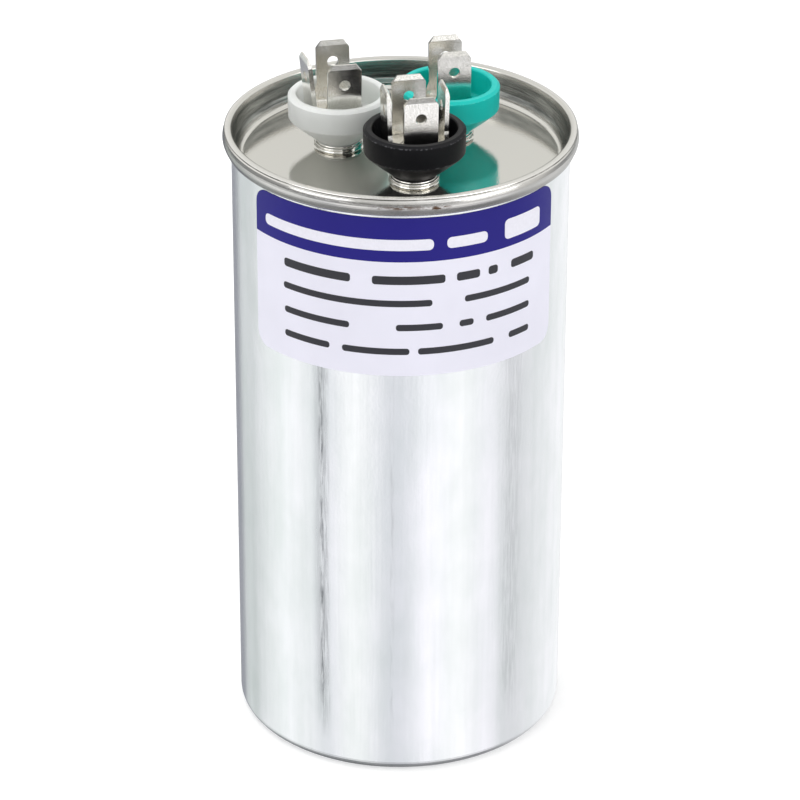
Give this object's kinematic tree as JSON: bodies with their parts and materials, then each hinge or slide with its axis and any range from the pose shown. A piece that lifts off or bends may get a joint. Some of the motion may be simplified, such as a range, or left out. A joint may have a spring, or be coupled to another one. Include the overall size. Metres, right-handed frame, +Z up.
{
  "type": "motor run capacitor",
  "caption": "Round dual motor run capacitor: aluminium can with a double-seamed lid, coloured terminal cups and push-on tabs, for a compressor and fan motor.",
  "frame": {"origin": "centre of the can's flat base", "axes": "+Z up along the can's axis towards the tabs; the label and the common terminal face -Y"},
  "size_m": [0.0668, 0.0668, 0.136],
  "materials": {
    "can_aluminium": "bright drawn",
    "lid_tinplate": "bright tinplate",
    "label_vinyl": "printed vinyl, satin",
    "cup_black": "matt moulded",
    "cup_white": "matt moulded",
    "cup_teal": "matt moulded",
    "tab_tinned": "tinned, satin",
    "rivet_tinned": "tinned",
    "seal_rubber": "moulded",
    "tag_tinned": "tinned brass",
    "disc_phenolic": "moulded phenolic",
    "lead_copper": "drawn copper",
    "film_metallised": "metallised film, wound",
    "core_plastic": "moulded",
    "spray_zinc": "sprayed zinc, rough",
    "liner_plastic": "sheet",
    "tray_plastic": "moulded"
  },
  "bodies": {
    "root": {"can": "can_aluminium", "lid": "lid_tinplate", "label": "label_vinyl", "common_cup": "cup_black", "herm_cup": "cup_white", "fan_cup": "cup_teal", "common_strip_lower": "tab_tinned", "common_strip_upper": "tab_tinned", "herm_strip": "tab_tinned", "herm_side_tab": "tab_tinned", "fan_strip": "tab_tinned", "common_rivet": "rivet_tinned", "herm_rivet": "rivet_tinned", "fan_rivet": "rivet_tinned", "common_seal": "seal_rubber", "herm_seal": "seal_rubber", "fan_seal": "seal_rubber", "common_tag": "tag_tinned", "herm_tag": "tag_tinned", "fan_tag": "tag_tinned", "interrupter_disc": "disc_phenolic", "common_lead": "lead_copper", "herm_lead": "lead_copper", "fan_lead": "lead_copper", "film_roll": "film_metallised", "core_tube": "core_plastic", "end_spray_common": "spray_zinc", "end_spray_fan": "spray_zinc", "end_spray_herm": "spray_zinc", "can_liner": "liner_plastic", "bottom_tray": "tray_plastic"}
  },
  "joints": []
}
